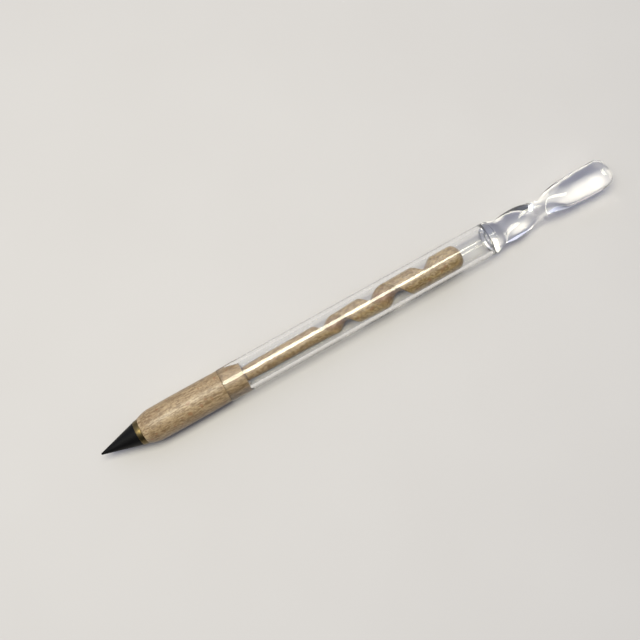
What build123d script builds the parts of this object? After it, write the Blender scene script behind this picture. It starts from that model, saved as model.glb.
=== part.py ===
"""An inkless desk pen: graphite writing tip, beech grip, spiral-carved beech core in a glass tube,
and a twisted solid glass tail.

Frame: millimetres. The pen lies along X with the writing point towards -X, the tube resting on Z = 0
and the middle of the pen's length at X = 0. The pen's own axis is at Z = TUBE_DIAMETER / 2.
"""

from build123d import *
from math import acos, atan2, cos, hypot, pi, radians, sin
import os

os.makedirs("parts", exist_ok=True)

# ---- driving dimensions ----

TUBE_DIAMETER = 12.0
TUBE_BORE = 9.0

CONE_LENGTH = 13.8
COLLAR_WIDTH = 1.8
GRIP_LENGTH = 30.7
TUBE_LENGTH = 105.9
TAIL_LENGTH = 49.0
SPIGOT_LENGTH = 7.6
CORE_LENGTH = 85.4

# Graphite tip
CONE_DIAMETER = 8.4
POINT_RADIUS = 0.35
TENON_DIAMETER = 5.2
TENON_LENGTH = 1.1

# Brass collar with its screw, and the brass bush in the grip that it screws into
COLLAR_FRONT_DIAMETER = 8.6
COLLAR_REAR_DIAMETER = 9.2
SCREW_DIAMETER = 3.94
SCREW_LENGTH = 6.5
THREAD_PITCH = 0.7
THREAD_DEPTH = 0.3
SCREW_CLEARANCE = 0.06
BUSH_DIAMETER = 6.0
BUSH_LENGTH = 7.6
SCREW_CHAMFER = 0.4
SCREW_RINGS = 7
FIRST_SCREW_RING_AT = 1.2
BUSH_RINGS = 9
FIRST_BUSH_RING_AT = 0.9
BUSH_GLUE_GROOVES_AT = (2.0, 5.0)
BUSH_GLUE_GROOVE_WIDTH = 0.6
BUSH_GLUE_GROOVE_DEPTH = 0.25
OVERCUT = 0.01

# Turned grip
GRIP_NOSE_DIAMETER = 9.3
GRIP_DIAMETER = 11.6
GRIP_BELLY_DIAMETER = 11.75
GRIP_NOSE_LENGTH = 5.4
GLUE_FILM = 0.1
SPIGOT_CHAMFER = 0.25
BUSH_HOLE_EXTRA = 0.4
CORE_HOLE_EXTRA = 0.3
CORE_TENON_DIAMETER = 3.4
CORE_TENON_LENGTH = 5.0

# Spiral core: diameters where it leaves the spigot, on its stem, at its waist and at its thick end
CORE_ROOT_DIAMETER = 4.8
CORE_STEM_DIAMETER = 5.5
CORE_WAIST_DIAMETER = 6.2
CORE_END_DIAMETER = 8.8
CORE_STEM_AT = 5.6
CORE_WAIST_AT = 30.6
CORE_FULL_AT = 62.0
CORE_DOME_RADIUS = 3.3

# Groove of the core: one start, right-handed, cut with a round tool
GROOVE_PITCH = 20.5
GROOVE_SIDE_AT = 29.3
GROOVE_LEAD_TURNS = 0.2
GROOVE_TURNS = 2.3
GROOVE_TOOL_RADIUS = 4.0
GROOVE_DEEPEST = 1.2

# Bead of glue at the spigot's inner end
BEAD_REACH = 0.9
BEAD_STEP_REACH = 0.2
BEAD_STEP = 0.3
BEAD_LIP = 0.25

# Twisted tail
TAIL_PLUG_LENGTH = 2.6
TAIL_PLUG_ROOT = 1.0
DIMPLE_DEPTH = 0.9
DIMPLE_TAPER = 45
DIMPLE_RADIUS = 3.6
TAIL_SHOULDER_DIAMETER = 11.3
TAIL_NECK_DIAMETER = 9.3
TAIL_NECK_AT = 3.6
TWIST_START = 8.0
TWIST_END = 31.0
TWIST_ANGLE = 180.0
PADDLE_SIDE = 0.5
PADDLE_LIFT = 1.2

# ---- places worked out from them ----

AXIS_Z = TUBE_DIAMETER / 2
TOTAL_LENGTH = CONE_LENGTH + COLLAR_WIDTH + GRIP_LENGTH + TUBE_LENGTH + TAIL_LENGTH
POINT_X = -TOTAL_LENGTH / 2
COLLAR_X = POINT_X + CONE_LENGTH
GRIP_X = COLLAR_X + COLLAR_WIDTH
TUBE_X = GRIP_X + GRIP_LENGTH
CORE_X = TUBE_X + SPIGOT_LENGTH
CORE_END_X = CORE_X + CORE_LENGTH
TAIL_X = TUBE_X + TUBE_LENGTH

SPIGOT_RADIUS = TUBE_BORE / 2 - GLUE_FILM
PLUG_RADIUS = TUBE_BORE / 2 - GLUE_FILM

pen_axis = Axis((0, 0, AXIS_Z), (1, 0, 0))
lathe_plane = Plane(origin=(0, 0, AXIS_Z), x_dir=(1, 0, 0), z_dir=(0, -1, 0))


def cross_plane(x):
    """The plane across the pen at x, facing the tail, with its own x along the row's +Y."""
    return Plane(origin=(x, 0, AXIS_Z), x_dir=(0, 1, 0), z_dir=(1, 0, 0))


# ---- graphite tip: a cone with a tenon that is cemented into the collar ----

# The flank of the cone is tangent to the small ball that the point is worn to.
ball_x = POINT_X + POINT_RADIUS
ball_to_base = CONE_LENGTH - POINT_RADIUS
base_radius = CONE_DIAMETER / 2
flank_angle = acos(POINT_RADIUS / hypot(base_radius, ball_to_base)) - atan2(ball_to_base, base_radius)


def on_ball(angle):
    """The point of the worn ball at an angle from the pen's axis, measured from the point."""
    return (ball_x - POINT_RADIUS * cos(angle), POINT_RADIUS * sin(angle))


with BuildPart() as graphite_tip:
    with BuildSketch(lathe_plane):
        with BuildLine():
            ThreePointArc(on_ball(0), on_ball((pi / 2 - flank_angle) / 2), on_ball(pi / 2 - flank_angle))
            Polyline(
                on_ball(pi / 2 - flank_angle),
                (COLLAR_X, base_radius),
                (COLLAR_X, TENON_DIAMETER / 2),
                (COLLAR_X + TENON_LENGTH, TENON_DIAMETER / 2),
                (COLLAR_X + TENON_LENGTH, 0),
                on_ball(0),
            )
        make_face()
    revolve(axis=pen_axis)
graphite_tip.part.label = "graphite_tip"
export_step(graphite_tip.part, "parts/graphite_tip.step")


# ---- brass collar: a tapered ring with a recess in front and a screw behind ----

with BuildPart() as tip_collar:
    with BuildSketch(lathe_plane):
        with BuildLine():
            Polyline(
                (COLLAR_X, TENON_DIAMETER / 2),
                (COLLAR_X, COLLAR_FRONT_DIAMETER / 2),
                (GRIP_X, COLLAR_REAR_DIAMETER / 2),
                (GRIP_X, SCREW_DIAMETER / 2),
                (GRIP_X + SCREW_LENGTH, SCREW_DIAMETER / 2),
                (GRIP_X + SCREW_LENGTH, 0),
                (COLLAR_X + TENON_LENGTH, 0),
                (COLLAR_X + TENON_LENGTH, TENON_DIAMETER / 2),
                close=True,
            )
        make_face()
    revolve(axis=pen_axis)
    chamfer(
        tip_collar.edges().filter_by(GeomType.CIRCLE).group_by(Axis.X)[-1],
        length=SCREW_CHAMFER,
    )
    # Thread roots, drawn as separate rings.
    with BuildSketch(lathe_plane):
        root_radius = SCREW_DIAMETER / 2 - THREAD_DEPTH
        for turn in range(SCREW_RINGS):
            x = GRIP_X + FIRST_SCREW_RING_AT + turn * THREAD_PITCH
            with BuildLine():
                Polyline(
                    (x - THREAD_DEPTH, SCREW_DIAMETER / 2 + OVERCUT),
                    (x, root_radius),
                    (x + THREAD_DEPTH, SCREW_DIAMETER / 2 + OVERCUT),
                    close=True,
                )
            make_face()
    revolve(axis=pen_axis, mode=Mode.SUBTRACT)
tip_collar.part.label = "tip_collar"
export_step(tip_collar.part, "parts/tip_collar.step")


# ---- brass bush with the inside thread, glued into the nose of the grip ----

bush_bore_radius = SCREW_DIAMETER / 2 + SCREW_CLEARANCE
with BuildPart() as thread_insert:
    with BuildSketch(cross_plane(GRIP_X)):
        Circle(BUSH_DIAMETER / 2)
        Circle(bush_bore_radius, mode=Mode.SUBTRACT)
    extrude(amount=BUSH_LENGTH)
    with BuildSketch(lathe_plane):
        for turn in range(BUSH_RINGS):
            x = GRIP_X + FIRST_BUSH_RING_AT + turn * THREAD_PITCH
            with BuildLine():
                Polyline(
                    (x - THREAD_DEPTH, bush_bore_radius - OVERCUT),
                    (x, bush_bore_radius + THREAD_DEPTH),
                    (x + THREAD_DEPTH, bush_bore_radius - OVERCUT),
                    close=True,
                )
            make_face()
    revolve(axis=pen_axis, mode=Mode.SUBTRACT)
    # Two glue grooves round the outside.
    with BuildSketch(lathe_plane):
        for groove_at in BUSH_GLUE_GROOVES_AT:
            with Locations((GRIP_X + groove_at, BUSH_DIAMETER / 2)):
                Rectangle(BUSH_GLUE_GROOVE_WIDTH, 2 * BUSH_GLUE_GROOVE_DEPTH)
    revolve(axis=pen_axis, mode=Mode.SUBTRACT)
thread_insert.part.label = "thread_insert"
export_step(thread_insert.part, "parts/thread_insert.step")


# ---- beech grip: rounded nose, slight belly, shoulder, and a spigot for the tube ----

with BuildPart() as grip:
    with BuildSketch(lathe_plane):
        with BuildLine():
            nose_end = (GRIP_X + GRIP_NOSE_LENGTH, GRIP_DIAMETER / 2)
            shoulder = (TUBE_X, GRIP_DIAMETER / 2)
            Line((GRIP_X, 0), (GRIP_X, GRIP_NOSE_DIAMETER / 2))
            TangentArc(nose_end, (GRIP_X, GRIP_NOSE_DIAMETER / 2), tangent=(-1, 0))
            ThreePointArc(
                nose_end,
                ((nose_end[0] + TUBE_X) / 2, GRIP_BELLY_DIAMETER / 2),
                shoulder,
            )
            Polyline(
                shoulder,
                (TUBE_X, SPIGOT_RADIUS),
                (CORE_X, SPIGOT_RADIUS),
                (CORE_X, 0),
                (GRIP_X, 0),
            )
        make_face()
    revolve(axis=pen_axis)
    chamfer(
        grip.edges().filter_by(GeomType.CIRCLE).group_by(Axis.X)[-1],
        length=SPIGOT_CHAMFER,
    )
    with BuildSketch(cross_plane(GRIP_X)):
        Circle(BUSH_DIAMETER / 2)
    extrude(amount=BUSH_LENGTH + BUSH_HOLE_EXTRA, mode=Mode.SUBTRACT)
    with BuildSketch(cross_plane(CORE_X)):
        Circle(CORE_TENON_DIAMETER / 2)
    extrude(amount=-CORE_TENON_LENGTH - CORE_HOLE_EXTRA, mode=Mode.SUBTRACT)
grip.part.label = "grip"
export_step(grip.part, "parts/grip.step")


# ---- beech core: tapered dowel with a domed end and one deep right-hand groove ----

with BuildPart() as spiral_core:
    with BuildSketch(lathe_plane):
        with BuildLine():
            dome_x = CORE_END_X - CORE_DOME_RADIUS
            end_radius = CORE_END_DIAMETER / 2
            flat_end_radius = end_radius - CORE_DOME_RADIUS
            Polyline(
                (dome_x, end_radius),
                (CORE_X + CORE_FULL_AT, end_radius),
                (CORE_X + CORE_WAIST_AT, CORE_WAIST_DIAMETER / 2),
                (CORE_X + CORE_STEM_AT, CORE_STEM_DIAMETER / 2),
                (CORE_X, CORE_ROOT_DIAMETER / 2),
                (CORE_X, CORE_TENON_DIAMETER / 2),
                (CORE_X - CORE_TENON_LENGTH, CORE_TENON_DIAMETER / 2),
                (CORE_X - CORE_TENON_LENGTH, 0),
                (CORE_END_X, 0),
                (CORE_END_X, flat_end_radius),
            )
            RadiusArc((CORE_END_X, flat_end_radius), (dome_x, end_radius), -CORE_DOME_RADIUS)
        make_face()
    revolve(axis=pen_axis)
    # The helix starts above the axis and is turned back, so that it first crosses the +Y side,
    # a quarter turn before the top, GROOVE_SIDE_AT from the spigot.
    groove_line = Helix(
        pitch=GROOVE_PITCH,
        height=GROOVE_PITCH * GROOVE_TURNS,
        radius=GROOVE_TOOL_RADIUS + GROOVE_DEEPEST,
        center=(CORE_X + GROOVE_SIDE_AT - GROOVE_LEAD_TURNS * GROOVE_PITCH, 0, AXIS_Z),
        direction=(1, 0, 0),
        mode=Mode.PRIVATE,
    ).rotate(pen_axis, -360 * (0.25 + GROOVE_LEAD_TURNS))
    with BuildSketch(Plane(origin=groove_line @ 0, z_dir=groove_line % 0)):
        Circle(GROOVE_TOOL_RADIUS)
    sweep(path=groove_line, mode=Mode.SUBTRACT)
spiral_core.part.label = "spiral_core"
export_step(spiral_core.part, "parts/spiral_core.step")


# ---- clear glass tube, glued over the spigot and butted against the shoulder ----

with BuildPart() as glass_tube:
    with BuildSketch(cross_plane(TUBE_X)):
        Circle(TUBE_DIAMETER / 2)
        Circle(TUBE_BORE / 2, mode=Mode.SUBTRACT)
    extrude(amount=TUBE_LENGTH)
glass_tube.part.label = "glass_tube"
export_step(glass_tube.part, "parts/glass_tube.step")


# ---- clear glue between the spigot and the tube, with the bead it squeezes out inside ----

with BuildPart() as grip_glue:
    with BuildSketch(lathe_plane):
        with BuildLine():
            Polyline(
                (TUBE_X, SPIGOT_RADIUS),
                (TUBE_X, TUBE_BORE / 2),
                (CORE_X + BEAD_REACH, TUBE_BORE / 2),
                (CORE_X + BEAD_STEP_REACH, TUBE_BORE / 2 - BEAD_STEP),
                (CORE_X, SPIGOT_RADIUS - BEAD_LIP),
                (CORE_X - SPIGOT_CHAMFER, SPIGOT_RADIUS),
                close=True,
            )
        make_face()
    revolve(axis=pen_axis)
grip_glue.part.label = "grip_glue"
export_step(grip_glue.part, "parts/grip_glue.step")


# ---- clear glue round the tail's plug ----

with BuildPart() as tail_glue:
    with BuildSketch(cross_plane(TAIL_X)):
        Circle(TUBE_BORE / 2)
        Circle(PLUG_RADIUS, mode=Mode.SUBTRACT)
    extrude(amount=-TAIL_PLUG_LENGTH)
tail_glue.part.label = "tail_glue"
export_step(tail_glue.part, "parts/tail_glue.step")


# ---- solid glass tail: plug, shoulder, neck, lobe, half-turn twist, and a flat paddle ----

# Distance from the tube's end, then the width and thickness of the oval section there.
TAIL_SECTIONS = (
    (0.0, TAIL_SHOULDER_DIAMETER, TAIL_SHOULDER_DIAMETER),
    (1.6, 10.2, 10.2),
    (TAIL_NECK_AT, TAIL_NECK_DIAMETER, TAIL_NECK_DIAMETER),
    (6.0, 9.9, 8.4),
    (9.0, 10.3, 7.2),
    (11.5, 10.1, 6.9),
    (14.0, 9.6, 6.8),
    (16.5, 9.1, 6.7),
    (19.5, 9.0, 6.7),
    (22.5, 9.2, 6.3),
    (25.0, 9.6, 5.9),
    (28.0, 10.1, 5.4),
    (31.0, 10.5, 5.0),
    (36.0, 10.9, 4.8),
    (41.0, 11.0, 4.6),
    (45.0, 10.8, 4.4),
    (47.4, 9.4, 4.0),
    (48.7, 7.2, 3.2),
    (TAIL_LENGTH, 4.6, 2.0),
)


def ease(distance, start, end):
    """0 before start, 1 after end, and a smooth climb between them."""
    t = min(max((distance - start) / (end - start), 0), 1)
    return t * t * (3 - 2 * t)


with BuildPart() as glass_tail:
    for distance, width, thickness in TAIL_SECTIONS:
        turn = radians(TWIST_ANGLE) * ease(distance, TWIST_START, TWIST_END)
        bend = ease(distance, TAIL_NECK_AT, TWIST_END)
        section_plane = Plane(
            origin=(TAIL_X + distance, PADDLE_SIDE * bend, AXIS_Z + PADDLE_LIFT * bend),
            x_dir=(0, cos(turn), sin(turn)),
            z_dir=(1, 0, 0),
        )
        with BuildSketch(section_plane):
            Ellipse(width / 2, thickness / 2)
    loft()
    with BuildSketch(cross_plane(TAIL_X - TAIL_PLUG_LENGTH)):
        Circle(PLUG_RADIUS)
    extrude(amount=TAIL_PLUG_LENGTH + TAIL_PLUG_ROOT)
    # The plug's inner face is hollow.
    with BuildSketch(cross_plane(TAIL_X - TAIL_PLUG_LENGTH)):
        Circle(DIMPLE_RADIUS)
    extrude(amount=DIMPLE_DEPTH, taper=DIMPLE_TAPER, mode=Mode.SUBTRACT)
glass_tail.part.label = "glass_tail"
export_step(glass_tail.part, "parts/glass_tail.step")
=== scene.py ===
"""An inkless pen: graphite cone, brass collar, beech grip, carved core in a glass tube, glass tail.

Metres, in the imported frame: the pen lies along X with the writing point towards -X and rests on
Z = 0. Angles round the pen start at the +Y side and climb towards the top.
"""
from math import atan2, cos, exp, pi, radians, sin, sqrt

import bmesh
import bpy
import numpy as np
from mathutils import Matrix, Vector, noise


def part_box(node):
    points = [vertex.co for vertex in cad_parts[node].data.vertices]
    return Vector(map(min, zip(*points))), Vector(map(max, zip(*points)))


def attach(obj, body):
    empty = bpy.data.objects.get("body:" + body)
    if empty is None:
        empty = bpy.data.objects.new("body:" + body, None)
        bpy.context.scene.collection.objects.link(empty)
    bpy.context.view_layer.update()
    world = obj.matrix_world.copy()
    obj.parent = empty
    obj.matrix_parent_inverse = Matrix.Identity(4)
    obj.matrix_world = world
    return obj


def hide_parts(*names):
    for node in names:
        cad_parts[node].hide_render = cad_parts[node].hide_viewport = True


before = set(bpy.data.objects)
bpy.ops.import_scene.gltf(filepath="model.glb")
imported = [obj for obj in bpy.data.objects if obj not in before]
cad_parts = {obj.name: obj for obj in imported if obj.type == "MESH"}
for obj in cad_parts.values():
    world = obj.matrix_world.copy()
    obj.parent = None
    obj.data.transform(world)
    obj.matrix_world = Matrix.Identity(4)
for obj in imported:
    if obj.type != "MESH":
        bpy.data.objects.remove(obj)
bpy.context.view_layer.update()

MM = 0.001


# ---- places, worked out from the frame ----

def ends(node):
    """Where a node begins and ends along the pen."""
    low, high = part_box(node)
    return low[0], high[0]


def radius_of(node):
    """Half of a node's breadth across the pen."""
    low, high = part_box(node)
    return (high[1] - low[1]) / 2


POINT, TENON_END = ends("graphite_tip")
COLLAR_START, SCREW_END = ends("tip_collar")
GRIP_START, SPIGOT_END = ends("grip")
BUSH_START, BUSH_END = ends("thread_insert")
CORE_TENON_START, CORE_END = ends("spiral_core")
TUBE_START, TUBE_END = ends("glass_tube")
TAIL_PLUG, TAIL_END = ends("glass_tail")
CONE_RADIUS = radius_of("graphite_tip")
COLLAR_RADIUS = radius_of("tip_collar")
GRIP_RADIUS = radius_of("grip")
TUBE_RADIUS = radius_of("glass_tube")
BORE_RADIUS = radius_of("tail_glue")
SPIGOT_RADIUS = BORE_RADIUS - 0.1 * MM
AXIS_Z = (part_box("glass_tube")[1][2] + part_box("glass_tube")[0][2]) / 2


# ---- mesh helpers ----

# The most of a straight run that the rounding of one of its corners may take up.
CORNER_SHARE = 0.45


def rounded(profile, radius, steps=4):
    """An (x, r) outline with its inner corners rounded, as far as its runs allow."""
    out = [profile[0]]
    for before, at, after in zip(profile, profile[1:], profile[2:]):
        corner = np.array(at, float)
        back, ahead = np.array(before, float) - corner, np.array(after, float) - corner
        length_back, length_ahead = np.linalg.norm(back), np.linalg.norm(ahead)
        reach = min(radius, CORNER_SHARE * length_back, CORNER_SHARE * length_ahead)
        start = corner + back / length_back * reach
        stop = corner + ahead / length_ahead * reach
        for k in range(steps + 1):
            t = k / steps
            place = (1 - t) ** 2 * start + 2 * t * (1 - t) * corner + t * t * stop
            out.append((float(place[0]), float(place[1])))
    out.append(profile[-1])
    return out


def angles_round(segments):
    """The angles of evenly spaced vertices round the pen."""
    return [2 * pi * k / segments for k in range(segments)]


def on_circle(x, r, angle):
    """The vertex at x, at a radius and an angle round the pen's axis."""
    return x, r * cos(angle), AXIS_Z + r * sin(angle)


def skin(rows, segments, closed=False):
    """Quads between each row of vertices and the next, and from the last to the first if closed."""
    faces = []
    for i in range(rows if closed else rows - 1):
        here, there = i * segments, (i + 1) % rows * segments
        for k in range(segments):
            n = (k + 1) % segments
            faces.append((here + k, here + n, there + n, there + k))
    return faces


def fan(centre, row, segments):
    """Triangles from a centre vertex to a row of vertices."""
    start = row * segments
    return [(centre, start + k, start + (k + 1) % segments) for k in range(segments)]


def lathe(profile, segments, closed=False, wobble=None):
    """Vertices and faces of a turned shape. An open profile starts and ends on the axis.

    wobble(x, r, angle) gives the radius there, for a shape that isn't quite round.
    """
    rows = profile if closed else profile[1:-1]
    verts = [
        on_circle(x, wobble(x, r, angle) if wobble else r, angle)
        for x, r in rows
        for angle in angles_round(segments)
    ]
    faces = skin(len(rows), segments, closed)
    if not closed:
        for tip, row in ((profile[0], 0), (profile[-1], len(rows) - 1)):
            verts.append((tip[0], 0, AXIS_Z))
            faces += fan(len(verts) - 1, row, segments)
    return verts, faces


def add_piece(name, verts, faces, body, node, material):
    """A smooth-shaded piece from vertices and faces, on its body, standing for a CAD node."""
    mesh = bpy.data.meshes.new(name)
    mesh.from_pydata(verts, [], faces)
    bm = bmesh.new()
    bm.from_mesh(mesh)
    bmesh.ops.recalc_face_normals(bm, faces=bm.faces)
    bm.to_mesh(mesh)
    bm.free()
    for polygon in mesh.polygons:
        polygon.use_smooth = True
    mesh.materials.append(material)
    piece = bpy.data.objects.new(name, mesh)
    bpy.context.scene.collection.objects.link(piece)
    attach(piece, body)
    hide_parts(node)


def curve_through(table):
    """A smooth function through (place, value) rows, flat beyond its ends."""
    places = np.array([row[0] for row in table], float)
    values = np.array([row[1] for row in table], float)
    slopes = np.gradient(values, places)

    def at(place):
        place = min(max(place, places[0]), places[-1])
        i = int(min(np.searchsorted(places, place, side="right") - 1, len(places) - 2))
        span = places[i + 1] - places[i]
        t = (place - places[i]) / span
        return float(
            (2 * t**3 - 3 * t**2 + 1) * values[i]
            + (t**3 - 2 * t**2 + t) * span * slopes[i]
            + (-2 * t**3 + 3 * t**2) * values[i + 1]
            + (t**3 - t**2) * span * slopes[i + 1]
        )

    return at


def ease(value, start, end):
    """0 before start, 1 after end, and a smooth climb between them."""
    t = min(max((value - start) / (end - start), 0), 1)
    return t * t * (3 - 2 * t)


def lumps_on(along, angle, swing, shift=0.0):
    """Smooth noise on the skin of the pen. The wider the swing, the faster it changes round it."""
    return noise.noise(Vector((along, swing * cos(angle), swing * sin(angle) + shift)))


def lumps_round(angle, swing, layer):
    """Smooth noise that changes only round the pen, different in each layer."""
    return noise.noise(Vector((swing * cos(angle), swing * sin(angle), layer)))


def soft_min(a, b, blend):
    """The smaller of two radii, with the edge where they cross rounded over blend."""
    low, high = min(a, b), max(a, b)
    share = max(blend - (high - low), 0) / blend
    return low - share * share * blend / 4


# ---- material helpers ----

class Nodes:
    """A material's node tree, with short calls for adding and joining nodes."""

    # The colour sockets of a Mix node come after those for its other kinds of value.
    MIX_SHARE, MIX_A, MIX_B, MIX_RESULT = 0, 6, 7, 2

    def __init__(self, name):
        self.material = bpy.data.materials.new(name)
        self.material.use_nodes = True
        self.tree = self.material.node_tree
        self.shader = self.tree.nodes["Principled BSDF"]
        self.output = self.tree.nodes["Material Output"]

    def feed(self, socket, value):
        """Joins a node's output to a socket, or sets the socket to a plain value."""
        if hasattr(value, "is_output"):
            self.tree.links.new(value, socket)
        else:
            socket.default_value = value

    def add(self, kind, **inputs):
        """A new node, with its inputs fed by name."""
        node = self.tree.nodes.new("ShaderNode" + kind)
        for name, value in inputs.items():
            self.feed(node.inputs[name.replace("_", " ")], value)
        return node

    def surface(self, **inputs):
        """Feeds the shader's inputs by name."""
        for name, value in inputs.items():
            self.feed(self.shader.inputs[name.replace("_", " ")], value)

    def place(self, scale, shift=(0, 0, 0), turn=(0, 0, 0)):
        """Object coordinates, stretched by scale."""
        where = self.add("TexCoord").outputs["Object"]
        mapping = self.add("Mapping", Vector=where, Scale=scale, Location=shift, Rotation=turn)
        return mapping.outputs["Vector"]

    def noise(self, where, detail, roughness=0.5):
        node = self.add("TexNoise", Vector=where, Scale=1.0, Detail=detail, Roughness=roughness)
        return node.outputs["Fac"]

    def ramp(self, value, *stops):
        """A colour ramp through (position, colour or grey) stops."""
        node = self.add("ValToRGB", Fac=value)
        elements = node.color_ramp.elements
        while len(elements) < len(stops):
            elements.new(0.5)
        for element, (position, colour) in zip(elements, stops):
            element.position = position
            grey = isinstance(colour, (int, float))
            element.color = (colour, colour, colour, 1) if grey else (*colour, 1)
        return node.outputs["Color"]

    def mask(self, value, clear, full):
        """0 where value is at clear and 1 where it is at full, whichever of them is the higher."""
        return self.ramp(value, *sorted(((clear, 0.0), (full, 1.0))))

    def maths(self, operation, a, b):
        node = self.add("Math")
        node.operation = operation
        for socket, value in zip(node.inputs, (a, b)):
            self.feed(socket, value)
        return node.outputs["Value"]

    def mix(self, share, a, b):
        """Colour a where share is 0, colour b where it is 1."""
        node = self.add("Mix")
        node.data_type = "RGBA"
        for place, value in ((self.MIX_SHARE, share), (self.MIX_A, a), (self.MIX_B, b)):
            self.feed(node.inputs[place], (*value, 1) if isinstance(value, tuple) else value)
        return node.outputs[self.MIX_RESULT]

    def bump(self, height, distance, strength=1.0):
        node = self.add("Bump", Height=height, Distance=distance, Strength=strength)
        self.surface(Normal=node.outputs["Normal"])


# ---- materials ----

BEECH_PALE = (0.345, 0.256, 0.153)
BEECH_MID = (0.280, 0.201, 0.115)
BEECH_DARK = (0.140, 0.089, 0.043)
RAY_COLOUR = (0.40, 0.315, 0.205)
FLECK_COLOUR = (0.118, 0.065, 0.029)
KNOT_COLOUR = (0.215, 0.10, 0.046)
# The colour of the painted shade deep in the core's groove.
GROOVE_SHADE_COLOUR = (0.16, 0.083, 0.04)


def beech(name, heart, tilt, tint, speckle, pale_grains, groove_shade=0.0):
    """Beech: growth layers about a heart line beside the pen, fibres, dark flecks and pale rays.

    speckle and pale_grains are the strengths of the fine dark and pale grains. The last argument
    darkens the wood near the pen's axis, deep in a groove, as painted shade. Scales are in cells
    per metre.
    """
    n = Nodes(name)
    pale, mid, dark = (
        tuple(channel * share for channel, share in zip(colour, tint))
        for colour in (BEECH_PALE, BEECH_MID, BEECH_DARK)
    )
    grain_turn = (0, 0, 2.2 * tilt)
    about_heart = n.place((1, 1, 1), heart, (0, tilt, 0))
    rings = n.add(
        "TexWave", Vector=about_heart, Scale=190.0, Distortion=2.6, Detail=2.0, Detail_Scale=1.4
    )
    rings.wave_type = "RINGS"
    rings.rings_direction = "X"
    fibres = n.noise(n.place((360, 1800, 1800), turn=grain_turn), 2.0, 0.6)
    clouds = n.noise(n.place((110, 330, 330)), 2.0, 0.6)
    grit = n.noise(n.place((1250, 1550, 1550)), 1.0, 0.7)
    flecks = n.noise(n.place((480, 2000, 2000), (0.3, 0.1, 0.7), grain_turn), 1.0)
    rays = n.noise(n.place((950, 1300, 1300), (0.9, 0.4, 0.2)), 1.0)
    knots = n.noise(n.place((560, 560, 560), (0.2, 0.6, 0.35)), 0.0)
    fleck = n.mask(flecks, 0.56, 0.66)
    layers = [
        (n.mask(clouds, 0.60, 0.36), 0.12, dark),
        (n.mask(fibres, 0.53, 0.40), 0.60, dark),
        (n.mask(grit, 0.52, 0.41), speckle, dark),
        (n.mask(rays, 0.54, 0.64), pale_grains, RAY_COLOUR),
        (fleck, 0.60, FLECK_COLOUR),
        (n.mask(knots, 0.72, 0.77), 0.60, KNOT_COLOUR),
    ]
    # Painted shade: the wood darkens near the pen's axis, deep in the groove.
    if groove_shade:
        from_axis = n.add("VectorMath", Vector=n.place((0, 1, 1), (0, 0, -AXIS_Z)))
        from_axis.operation = "LENGTH"
        share_of_5_mm = n.maths("MULTIPLY", from_axis.outputs["Value"], 200.0)
        layers.append((n.mask(share_of_5_mm, 0.62, 0.2), groove_shade, GROOVE_SHADE_COLOUR))
    base = n.mix(n.mask(rings.outputs["Fac"], 0.1, 0.6), mid, pale)
    for mask, strength, colour in layers:
        base = n.mix(n.maths("MULTIPLY", mask, strength), base, colour)
    roughness = n.ramp(clouds, (0.3, 0.27), (0.7, 0.42))
    n.surface(Base_Color=base, Roughness=roughness, Specular_IOR_Level=0.5)
    height = n.maths("ADD", n.maths("MULTIPLY", fibres, 0.7), n.maths("MULTIPLY", fleck, -0.5))
    n.bump(height, 0.08 * MM)
    return n.material


def graphite():
    """Pressed graphite: nearly black, satin, with faint turning rings and small lighter specks."""
    n = Nodes("graphite")
    turning = n.noise(n.place((5200, 120, 120)), 2.0)
    grains = n.noise(n.place((3200, 3200, 3200)), 2.0, 0.7)
    worn = n.noise(n.place((260, 420, 420)), 3.0)
    n.surface(
        Base_Color=n.mix(
            n.mask(grains, 0.5, 0.85), (0.0022, 0.0022, 0.0025), (0.0065, 0.0065, 0.007)
        ),
        Roughness=n.ramp(worn, (0.35, 0.40), (0.7, 0.56)),
        Specular_IOR_Level=0.12,
    )
    n.bump(n.maths("ADD", turning, n.maths("MULTIPLY", grains, 0.6)), 0.03 * MM)
    return n.material


def brass():
    """Turned brass: fine rings from the tool, a little tarnish."""
    n = Nodes("brass")
    turning = n.noise(n.place((9000, 60, 60)), 2.0)
    tarnish = n.noise(n.place((500, 500, 500)), 4.0)
    n.surface(
        Base_Color=n.mix(n.mask(tarnish, 0.4, 0.8), (0.150, 0.110, 0.047), (0.090, 0.067, 0.029)),
        Metallic=1.0,
        Roughness=n.ramp(tarnish, (0.3, 0.30), (0.75, 0.40)),
    )
    n.bump(turning, 0.012 * MM)
    return n.material


def glass(name, colour, ior, waves, shadow=None):
    """Clear glass with very shallow waves.

    With shadow, light falls straight through it on what lies behind: the first share of it where
    the glass is seen face on, the second at its edges.
    """
    n = Nodes(name)
    n.surface(Base_Color=(*colour, 1), Transmission_Weight=1.0, Roughness=0.0, IOR=ior)
    n.bump(n.noise(n.place((45, 130, 130)), 1.0), waves)
    if shadow:
        face_on, at_edges = shadow
        facing = n.add("LayerWeight", Blend=0.5).outputs["Facing"]
        tint = n.ramp(facing, (0.0, face_on), (0.42, face_on), (0.82, at_edges))
        rays = n.add("LightPath").outputs
        falling = n.maths("MAXIMUM", rays["Is Shadow Ray"], rays["Is Diffuse Ray"])
        either = n.add("MixShader", Fac=falling)
        n.feed(either.inputs[1], n.shader.outputs["BSDF"])
        n.feed(either.inputs[2], n.add("BsdfTransparent", Color=tint).outputs["BSDF"])
        n.feed(n.output.inputs["Surface"], either.outputs["Shader"])
    return n.material


def paper():
    """The pale floor: smooth paper."""
    n = Nodes("paper")
    fibres = n.noise(n.place((1500, 1500, 1500)), 3.0)
    clouds = n.noise(n.place((18, 18, 18)), 2.0)
    n.surface(
        Base_Color=n.mix(clouds, (0.450, 0.436, 0.443), (0.475, 0.463, 0.472)),
        Roughness=0.9,
        Specular_IOR_Level=0.2,
    )
    n.bump(fibres, 0.03 * MM, 0.6)
    return n.material


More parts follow.
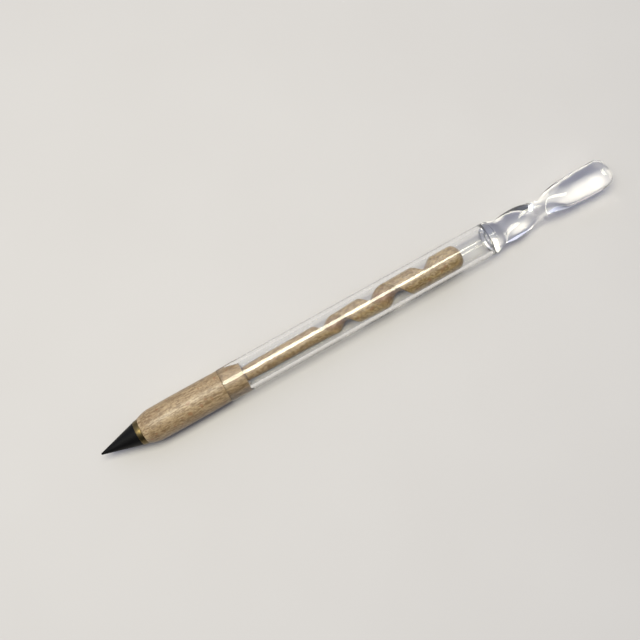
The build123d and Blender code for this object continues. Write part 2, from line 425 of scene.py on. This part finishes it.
GRAPHITE = graphite()
BRASS = brass()
GRIP_WOOD = beech("grip_beech", (0.0, 0.0, -0.0125), 0.07, (1.0, 0.985, 0.97), 0.40, 0.25)
# The core's wood has painted shade deep in its groove.
CORE_WOOD = beech("core_beech", (0.0, -0.013, 0.004), 0.03, (1.07, 1.065, 0.90), 0.85, 0.60, 0.8)
TUBE_GLASS = glass("tube_glass", (1.0, 1.0, 0.995), 1.47, 0.02 * MM, (0.985, 0.12))
TAIL_GLASS = glass("tail_glass", (0.995, 0.995, 1.0), 1.49, 0.06 * MM)
CLEAR_GLUE = glass("clear_glue", (1.0, 1.0, 0.99), 1.47, 0.03 * MM, (0.98, 0.5))
# The film round the plug lies between glass and glass, so it hardly bends the light.
GLUE_FILM = glass("glue_film", (1.0, 1.0, 0.99), 1.01, 0.01 * MM, (0.99, 0.9))


# ---- writing tip and its bush ----

THREAD_PITCH = 0.7 * MM
THREAD_DEPTH = 0.3 * MM
# Left between hidden faces that would otherwise lie in one place.
GAP = 0.02 * MM


def make_graphite_tip():
    """The cone: a worn point, a dead straight flank, a softened base edge and a tenon behind."""
    ball, tenon, base_edge = 0.35 * MM, 2.55 * MM, 0.12 * MM
    wear_depth, wear_length, worn_side = 0.04 * MM, 3 * MM, 4.3
    unevenness = 0.003
    flank = atan2(CONE_RADIUS - ball, COLLAR_START - POINT - ball)
    nose = [
        (POINT + ball * (1 - cos(t)), ball * sin(t)) for t in np.linspace(0, pi / 2 - flank, 10)
    ]
    nose_x, nose_r = nose[-1]
    flanks = [
        (nose_x + (COLLAR_START - nose_x) * t, nose_r + (CONE_RADIUS - nose_r) * t)
        for t in np.linspace(0.02, 0.98, 40)
    ]
    base = [(COLLAR_START, CONE_RADIUS), (COLLAR_START, tenon), (TENON_END, tenon), (TENON_END, 0)]
    profile = nose + flanks + rounded([flanks[-1]] + base, base_edge)[1:]

    def uneven(x, r, angle):
        wear = min(wear_depth * ease(x, POINT + wear_length, POINT), r * 0.5)
        worn = wear * max(0, cos(angle - worn_side)) ** 3
        return r * (1 + unevenness * lumps_on(x * 900, angle, 1.5)) - worn

    verts, faces = lathe(profile, 128, wobble=uneven)
    add_piece("graphite_cone", verts, faces, "tip", "graphite_tip", GRAPHITE)


def thread(first, count, radius, depth):
    """The outline of a thread, as V-shaped rings this deep in a screw, or below 0 in a bore."""
    outline = []
    for turn in range(count):
        root = first + turn * THREAD_PITCH
        outline.append((root - THREAD_DEPTH, radius))
        outline.append((root, radius - depth))
        outline.append((root + THREAD_DEPTH, radius))
    return outline


def make_collar():
    """The tapered ring with its rounded rims, the recess for the cone and the threaded screw."""
    front, recess, rim = COLLAR_RADIUS - 0.3 * MM, 2.6 * MM, 0.14 * MM
    screw, bevel = 1.97 * MM, 0.4 * MM
    ring = [
        (TENON_END, 0),
        (TENON_END, recess),
        (COLLAR_START, recess),
        (COLLAR_START, front),
        (GRIP_START, COLLAR_RADIUS),
        (GRIP_START, screw),
    ]
    end = [(SCREW_END - bevel, screw), (SCREW_END, screw - bevel), (SCREW_END, 0)]
    profile = ring + thread(GRIP_START + 1.2 * MM, 7, screw, THREAD_DEPTH) + end
    verts, faces = lathe(rounded(profile, rim), 128)
    add_piece("brass_collar", verts, faces, "tip", "tip_collar", BRASS)


def make_bush():
    """The brass bush in the grip, threaded inside and grooved outside for its glue."""
    bore, outside = 2.03 * MM, 3.0 * MM
    half_groove, groove_floor = 0.3 * MM, outside - 0.25 * MM
    profile = [(BUSH_START + GAP, bore)]
    profile += thread(BUSH_START + 0.9 * MM, 9, bore, -THREAD_DEPTH)
    profile += [(BUSH_END, bore), (BUSH_END, outside)]
    for middle in (BUSH_START + 5 * MM, BUSH_START + 2 * MM):
        profile += [
            (middle + half_groove, outside),
            (middle + half_groove, groove_floor),
            (middle - half_groove, groove_floor),
            (middle - half_groove, outside),
        ]
    profile.append((BUSH_START + GAP, outside))
    verts, faces = lathe(profile, 96, closed=True)
    add_piece("brass_bush", verts, faces, "pen_body", "thread_insert", BRASS)


# ---- wood ----

def make_grip():
    """The turned grip: rounded nose, slight belly, shoulder and spigot, with two blind holes."""
    nose, nose_radius = 5.4 * MM, COLLAR_RADIUS + 0.04 * MM
    full = GRIP_RADIUS - 0.1 * MM
    front, shoulder = GRIP_START + GAP, TUBE_START - 0.08 * MM
    bush_hole, bush_hole_end = 3.02 * MM, BUSH_END + 0.4 * MM
    core_hole, core_hole_end = 1.72 * MM, CORE_TENON_START - 0.3 * MM
    mouth_edge, shoulder_edge, unevenness = 0.1 * MM, 0.16 * MM, 0.0022
    mouth = [
        (bush_hole_end, 0),
        (bush_hole_end, bush_hole),
        (front, bush_hole),
        (front, nose_radius),
    ]
    curve = [
        (GRIP_START + nose * t, full - (full - nose_radius) * (1 - t) ** 2)
        for t in np.linspace(0.0, 1.0, 22)
    ]
    belly = [
        (
            GRIP_START + nose + (TUBE_START - GRIP_START - nose) * t,
            full + (GRIP_RADIUS - full) * sin(pi * min(t * 1.1, 1)) ** 0.8,
        )
        for t in np.linspace(0.03, 0.99, 60)
    ]
    spigot = [
        (shoulder, full),
        (shoulder, SPIGOT_RADIUS),
        (SPIGOT_END, SPIGOT_RADIUS),
        (SPIGOT_END, core_hole),
        (core_hole_end, core_hole),
        (core_hole_end, 0),
    ]
    profile = rounded(mouth + [curve[1]], mouth_edge)[:-1] + curve[1:] + belly
    profile += rounded([belly[-1]] + spigot, shoulder_edge)[1:]

    def turned(x, r, angle):
        in_core_hole = r < core_hole * 1.2
        if in_core_hole:
            return r
        return r * (1 + unevenness * (lumps_on(x * 160, angle, 1.2) - 0.5))

    verts, faces = lathe(profile, 160, wobble=turned)
    add_piece("beech_grip", verts, faces, "pen_body", "grip", GRIP_WOOD)


# Distance from the spigot and the core's diameter there before the groove is cut, in mm.
CORE_DIAMETERS = (
    (0.0, 4.8), (1.2, 5.1), (5.6, 5.5), (14.0, 5.7), (22.6, 5.85), (30.6, 6.2), (38.5, 7.0),
    (46.6, 7.95), (55.0, 8.5), (62.0, 8.75), (80.0, 8.8), (86.0, 8.75),
)
# Distance from the spigot in mm, and how many turns the groove has made there from the +Y side.
GROOVE_ROUTE = (
    (10.0, -1.10), (20.0, -0.55), (30.1, 0.0), (39.2, 0.5), (49.0, 1.0), (59.7, 1.5),
    (71.2, 2.0), (76.0, 2.09), (82.7, 2.2), (94.0, 2.4),
)
# The groove as the CAD cuts it, in mm: a round tool on a helix, from before to after the place
# where it first faces +Y.
GROOVE_PITCH = 20.5
GROOVE_SIDE_AT = 29.3
GROOVE_START = GROOVE_SIDE_AT - 0.25 * GROOVE_PITCH
GROOVE_END = GROOVE_SIDE_AT + 2.12 * GROOVE_PITCH
GROOVE_RUN_IN = (GROOVE_START - 1.5, GROOVE_START + 6.0)
GROOVE_RUN_OUT = (GROOVE_END - 3.6, GROOVE_END + 5.6)
GROOVE_TOOL_RADIUS = 4.2
GROOVE_FLOOR_RADIUS = 0.95
GROOVE_LIFT = 5.0
UNCUT_RADIUS = 9.0


def groove_section():
    """The groove's radius, in mm, at each angle from its deepest line, from the tool's helix."""
    angles = np.linspace(-pi, pi, 361)
    helix = GROOVE_TOOL_RADIUS + GROOVE_FLOOR_RADIUS
    climb = GROOVE_PITCH / (2 * pi)
    along = np.linspace(-2.2, 2.2, 221)[:, None]
    radii = np.linspace(0.0, 6.0, 241)
    section = np.full(len(angles), UNCUT_RADIUS)
    for i, angle in enumerate(angles):
        gap = (
            (climb * along) ** 2
            + radii**2
            + helix**2
            - 2 * radii * helix * np.cos(along - angle)
        ).min(axis=0)
        inside = np.nonzero(gap < GROOVE_TOOL_RADIUS**2)[0]
        if len(inside):
            section[i] = radii[inside[0]]
    return angles, section


def make_core():
    """The carved core: a tapered dowel with one deep right-hand groove and slight knife marks."""
    diameter, turns = curve_through(CORE_DIAMETERS), curve_through(GROOVE_ROUTE)
    angles, section = groove_section()
    length = (CORE_END - SPIGOT_END) / MM
    segments, dome, edge, thinnest = 192, 3.3, 0.22, 0.25
    knife_marks, waviness = 0.10, 0.03
    tenon_start, tenon_end = CORE_TENON_START / MM - SPIGOT_END / MM + 0.01, -0.01
    tenon_radius = 1.7
    dome_start = length - dome
    stations = list(np.arange(0.0, dome_start, 0.25))
    stations += [length - dome * (1 - sin(t)) for t in np.linspace(0.0, pi / 2, 14)[:-1]]

    def radius_at(x, angle, uncut, lift):
        """The core's radius with the groove, raised by lift, cut into it."""
        phase = (angle - 2 * pi * turns(x) + pi) % (2 * pi) - pi
        cut = float(np.interp(phase, angles, section)) + lift
        cut += knife_marks * lumps_on(x * 0.9, angle, 2.2)
        radius = soft_min(uncut, cut, edge) + waviness * lumps_on(x * 0.25, angle, 1.3, 5)
        return max(radius, thinnest)

    rows = [
        [(x, tenon_radius, angle) for angle in angles_round(segments)]
        for x in (tenon_start, tenon_end)
    ]
    for x in stations:
        uncut = diameter(x) / 2
        if x > dome_start:
            uncut -= dome - sqrt(max(dome**2 - (x - dome_start) ** 2, 0))
        lift = GROOVE_LIFT * (1 - ease(x, *GROOVE_RUN_IN)) + GROOVE_LIFT * ease(x, *GROOVE_RUN_OUT)
        rows.append([(x, radius_at(x, a, uncut, lift), a) for a in angles_round(segments)])
    verts = [on_circle(SPIGOT_END + x * MM, r * MM, angle) for row in rows for x, r, angle in row]
    faces = skin(len(rows), segments)
    for x, row in ((tenon_start, 0), (length, len(rows) - 1)):
        verts.append((SPIGOT_END + x * MM, 0, AXIS_Z))
        faces += fan(len(verts) - 1, row, segments)
    add_piece("carved_core", verts, faces, "pen_body", "spiral_core", CORE_WOOD)


# ---- glass and glue ----

def wetted_end(angle):
    """Where the glue ends on the spigot at an angle round the pen: sooner near the +Y side."""
    setback, raggedness = 0.45, 0.5
    dry_side, dry_spread, dry_length, dry_raggedness = radians(12), radians(24), 4.6, 0.35
    ragged = lumps_round(angle, 3.0, 4.0)
    off_side = (angle + pi) % (2 * pi) - pi - dry_side
    dry = dry_length * exp(-((off_side / dry_spread) ** 2)) * (1 + dry_raggedness * ragged)
    return SPIGOT_END + (-setback + raggedness * ragged - dry) * MM


def make_tube():
    """The tube, its glass reaching into the wood where glue joins them, since no air is there."""
    rim, bore_rim, straight_from, segments = 0.25 * MM, 0.15 * MM, 1 * MM, 192
    wet = SPIGOT_RADIUS - 0.06 * MM
    shell = [(TUBE_START, wet), (TUBE_START, TUBE_RADIUS - rim)]
    shell += [
        (TUBE_START + rim * (1 - cos(t)), TUBE_RADIUS - rim * (1 - sin(t)))
        for t in np.linspace(0, pi / 2, 7)
    ]
    shell += [
        (x, TUBE_RADIUS)
        for x in np.linspace(TUBE_START + straight_from, TUBE_END - straight_from, 60)
    ]
    shell += [
        (TUBE_END - rim * (1 - cos(t)), TUBE_RADIUS - rim * (1 - sin(t)))
        for t in np.linspace(pi / 2, 0, 7)
    ]
    shell += [
        (TUBE_END - bore_rim * (1 - cos(t)), BORE_RADIUS + bore_rim * (1 - sin(t)))
        for t in np.linspace(0, pi / 2, 5)
    ]
    shell += [
        (x, BORE_RADIUS)
        for x in np.linspace(TUBE_END - straight_from, SPIGOT_END + 1.2 * MM, 50)
    ]
    # Distances from the ragged line where the glue ends.
    glued = [
        (1.0 * MM, BORE_RADIUS),
        (0.6 * MM, BORE_RADIUS - 0.03 * MM),
        (0.3 * MM, wet + 0.01 * MM),
        (0.0, wet),
    ]
    verts = [on_circle(x, r, angle) for x, r in shell for angle in angles_round(segments)]
    verts += [
        on_circle(wetted_end(angle) + x, r, angle)
        for x, r in glued
        for angle in angles_round(segments)
    ]
    faces = skin(len(shell) + len(glued), segments, closed=True)
    add_piece("clear_tube", verts, faces, "pen_body", "glass_tube", TUBE_GLASS)


def make_grip_glue():
    """The uneven bead of glue at the spigot's inner end, thickest low on the -Y side."""
    segments, around, thickest_side = 160, 14, radians(200)
    thinnest, swelling = 0.10, 0.42
    # In bead sizes: its half height, and how far its middle lies from the bore and the spigot.
    half_height, from_bore, from_spigot = 0.6, 0.62, 1.05
    verts = []
    for angle in angles_round(segments):
        swell = 0.5 + 0.5 * cos(angle - thickest_side)
        lumps = 0.5 + 0.5 * lumps_round(angle, 4, 9.0)
        size = (thinnest + swelling * swell * lumps) * MM
        middle = BORE_RADIUS - GAP - size * from_bore
        for t in angles_round(around):
            x = SPIGOT_END + GAP + size * (from_spigot + cos(t))
            verts.append(on_circle(x, middle + size * half_height * sin(t), angle))
    faces = skin(segments, around, closed=True)
    add_piece("glue_bead", verts, faces, "pen_body", "grip_glue", CLEAR_GLUE)


def make_tail_glue():
    """A hair-thin film of glue round the plug."""
    inner, outer, edge = BORE_RADIUS - 0.09 * MM, BORE_RADIUS - GAP, 0.02 * MM
    start, end = TAIL_PLUG + 0.1 * MM, TUBE_END - 0.05 * MM
    corners = [(start, inner), (start, outer), (end, outer), (end, inner)]
    profile = rounded([corners[-1]] + corners + [corners[0]], edge, 2)[1:-1]
    verts, faces = lathe(profile, 128, closed=True)
    add_piece("plug_glue", verts, faces, "pen_body", "tail_glue", GLUE_FILM)


# Distance from the tube's end, then the width and thickness of the tail's section there, in mm.
TAIL_WIDTHS = (
    (0.0, 11.1), (0.5, 11.1), (1.6, 10.6), (3.6, 9.1), (5.0, 9.5), (7.0, 10.15), (9.0, 10.35),
    (11.5, 10.15), (14.0, 9.6), (16.5, 9.1), (19.5, 8.9), (22.5, 9.1), (25.0, 9.5), (28.0, 10.0),
    (31.0, 10.4), (36.0, 10.85), (41.0, 10.95), (45.6, 10.9), (50.0, 10.6),
)
TAIL_THICKNESSES = (
    (0.0, 11.1), (0.5, 11.1), (1.6, 10.6), (3.6, 9.1), (5.0, 8.7), (7.0, 7.8), (9.0, 7.2),
    (11.5, 6.9), (14.0, 6.8), (16.5, 6.7), (19.5, 6.7), (22.5, 6.3), (25.0, 5.9), (28.0, 5.4),
    (31.0, 5.0), (36.0, 4.7), (41.0, 4.5), (45.6, 4.3), (50.0, 4.0),
)
# From where to where the tail twists, leaves the tube's axis and turns squarer than an ellipse.
TAIL_TWIST = (8.0, 31.0)
TAIL_BEND = (3.6, 31.0)
TAIL_SQUARING = (24.0, 40.0)
# How far the paddle's middle lies off the tube's axis, across and up, in mm.
PADDLE_ASIDE, PADDLE_UP = 0.5, 1.2


def tail_rings():
    """Rings along the tail, each (distance from the tube's end, width, thickness), in mm."""
    width, thickness = curve_through(TAIL_WIDTHS), curve_through(TAIL_THICKNESSES)
    length = (TAIL_END - TUBE_END) / MM
    plug = (TAIL_PLUG - TUBE_END) / MM
    # The plug reaches a little into the tube's glass, since no air is between them.
    plug_width = 2 * (BORE_RADIUS / MM + 0.03)
    # The rounding of the shoulder, of the paddle's corners and of its thin end.
    rim, corner, edge = 0.3, 3.7, 1.6
    seat, end = -0.02, length - 0.005
    discs = [(plug, share * plug_width) for share in (0.3, 0.6, 0.9, 0.985, 1.0)]
    discs += [(x, plug_width) for x in (plug + 0.02, plug + 0.2, -0.20)]
    discs += [(-0.03, plug_width + 0.03), (seat, plug_width + 0.3)]
    for t in np.linspace(0, pi / 2, 6):
        discs.append((seat + rim * (1 - cos(t)), 2 * (width(0) / 2 - rim * (1 - sin(t)))))
    rings = [(x, across, across) for x, across in discs]
    rings += [(x, width(x), thickness(x)) for x in np.arange(0.6, length - corner, 0.2)]
    for t in np.linspace(0, pi / 2, 22)[:-1]:
        x = length - corner * (1 - sin(t))
        narrowing = corner * (1 - cos(t))
        thinning = edge * (1 - sqrt(max(1 - max(x - length + edge, 0) ** 2 / edge**2, 0)))
        rings.append((x, width(x) - 2 * narrowing, thickness(x) - 1.9 * thinning))
    for share in (0.96, 0.5):
        rings.append((end, rings[-1][1] * share, rings[-1][2] * share))
    return rings


def make_tail():
    """The tail: flat-faced plug, shoulder, neck, lobe, a right-hand half turn and the paddle."""
    segments = 144
    rings = tail_rings()
    verts = []
    for x, wide, thick in rings:
        turn = pi * ease(x, *TAIL_TWIST)
        bend = ease(x, *TAIL_BEND)
        power = 2.0 + 0.7 * ease(x, *TAIL_SQUARING)
        for angle in angles_round(segments):
            c, s = cos(angle), sin(angle)
            u = wide / 2 * abs(c) ** (2 / power) * (1 if c > 0 else -1)
            v = thick / 2 * abs(s) ** (2 / power) * (1 if s > 0 else -1)
            y = u * cos(turn) - v * sin(turn) + PADDLE_ASIDE * bend
            z = u * sin(turn) + v * cos(turn) + PADDLE_UP * bend
            verts.append((TUBE_END + x * MM, y * MM, AXIS_Z + z * MM))
    verts.append((TAIL_PLUG, 0, AXIS_Z))
    verts.append((TAIL_END - 0.005 * MM, PADDLE_ASIDE * MM, AXIS_Z + PADDLE_UP * MM))
    faces = skin(len(rings), segments)
    faces += fan(len(verts) - 2, 0, segments) + fan(len(verts) - 1, len(rings) - 1, segments)
    add_piece("twisted_tail", verts, faces, "pen_body", "glass_tail", TAIL_GLASS)


# ---- floor, light and camera ----

def make_floor():
    """A wide pale sheet under the pen."""
    size = 3.0
    verts = [(-size, -size, 0), (size, -size, 0), (size, size, 0), (-size, size, 0)]
    mesh = bpy.data.meshes.new("floor")
    mesh.from_pydata(verts, [], [(0, 1, 2, 3)])
    mesh.materials.append(paper())
    floor = bpy.data.objects.new("floor", mesh)
    bpy.context.scene.collection.objects.link(floor)


def make_lamp():
    """One long soft lamp, nearly straight above the tip's half of the pen."""
    lamp = bpy.data.lights.new("softbox", "AREA")
    lamp.shape = "ELLIPSE"
    lamp.size = 0.76
    lamp.size_y = 0.29
    lamp.energy = 6.1
    lamp.color = (1.0, 0.965, 0.76)
    softbox = bpy.data.objects.new("softbox", lamp)
    bpy.context.scene.collection.objects.link(softbox)
    tilt, distance = radians(7), 0.7
    softbox.location = (-0.095, distance * sin(tilt), distance * cos(tilt))
    softbox.rotation_euler = (-tilt, 0, 0)


def make_sky():
    """A sky that is brightest high on the +Y side and dim towards the other side and low down."""
    brightest = (-0.10, 0.45, 0.887)
    stops = ((0.25, (0.075, 0.075, 0.080)), (1.0, (0.95, 1.0, 1.21)))
    world = bpy.data.worlds.new("studio")
    world.use_nodes = True
    tree = world.node_tree
    towards = tree.nodes.new("ShaderNodeVectorMath")
    towards.operation = "DOT_PRODUCT"
    towards.inputs[1].default_value = brightest
    direction = tree.nodes.new("ShaderNodeTexCoord").outputs["Generated"]
    tree.links.new(direction, towards.inputs[0])
    sky = tree.nodes.new("ShaderNodeValToRGB")
    sky.color_ramp.interpolation = "EASE"
    for element, (position, colour) in zip(sky.color_ramp.elements, stops):
        element.position = position
        element.color = (*colour, 1)
    tree.links.new(towards.outputs["Value"], sky.inputs["Fac"])
    tree.links.new(sky.outputs["Color"], tree.nodes["Background"].inputs["Color"])
    bpy.context.scene.world = world


def make_camera():
    """The camera: a quarter of a metre away, over the pen and a little to its near side."""
    data = bpy.data.cameras.new("camera")
    data.lens = 41.57
    data.sensor_width = 36
    data.clip_start = 0.01
    camera = bpy.data.objects.new("camera", data)
    bpy.context.scene.collection.objects.link(camera)
    azimuth, elevation, distance = radians(-29.54), radians(78.95), 0.2537
    target = Vector((POINT + 0.0854, 0.00375, AXIS_Z))
    back = Vector((sin(azimuth) * cos(elevation), -cos(azimuth) * cos(elevation), sin(elevation)))
    camera.location = target + back * distance
    camera.rotation_euler = (-back).to_track_quat("-Z", "Y").to_euler()
    bpy.context.scene.camera = camera


make_graphite_tip()
make_collar()
make_bush()
make_grip()
make_core()
make_tube()
make_grip_glue()
make_tail_glue()
make_tail()
make_floor()
make_lamp()
make_sky()
make_camera()
bpy.context.scene.view_settings.view_transform = "Standard"
# Keeps the tail's highlights sharp.
bpy.context.scene.cycles.blur_glossy = 0.0
